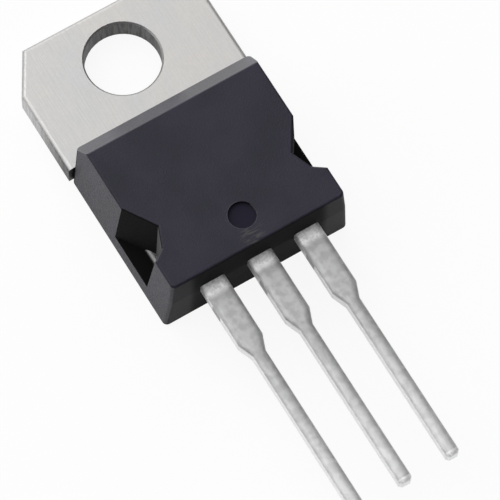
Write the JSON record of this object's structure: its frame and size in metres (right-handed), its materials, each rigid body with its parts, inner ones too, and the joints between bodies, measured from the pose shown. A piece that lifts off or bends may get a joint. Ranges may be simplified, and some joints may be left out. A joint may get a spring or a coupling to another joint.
{
  "type": "power mosfet",
  "caption": "Power MOSFET: copper mounting tab with a screw hole and cut corners, black moulded body with notched sides and a sloped tab end, flat leads that step from wide to narrow.",
  "frame": {"origin": "centre of the screw hole in the mounting tab, on the back face that lies on a heatsink", "axes": "+X across the package from the gate lead to the source lead; +Y along the package to the end of the tab, so the leads point to -Y; +Z out of the front face"},
  "size_m": [0.0104, 0.0285, 0.0045],
  "materials": {
    "epoxy": "matt black moulded epoxy with a fine spark-eroded grain",
    "plated_copper": "matt tin over copper, lightly brushed",
    "silicon": "polished silicon with aluminium pads",
    "solder": "dull soft solder",
    "wire_aluminium": "drawn aluminium wire"
  },
  "bodies": {
    "root": {"moulded_body": "epoxy", "drain_leadframe": "plated_copper", "gate_lead": "plated_copper", "source_lead": "plated_copper", "mosfet_die": "silicon", "die_solder": "solder", "gate_wire": "wire_aluminium", "source_wire_1": "wire_aluminium", "source_wire_2": "wire_aluminium"}
  },
  "joints": []
}
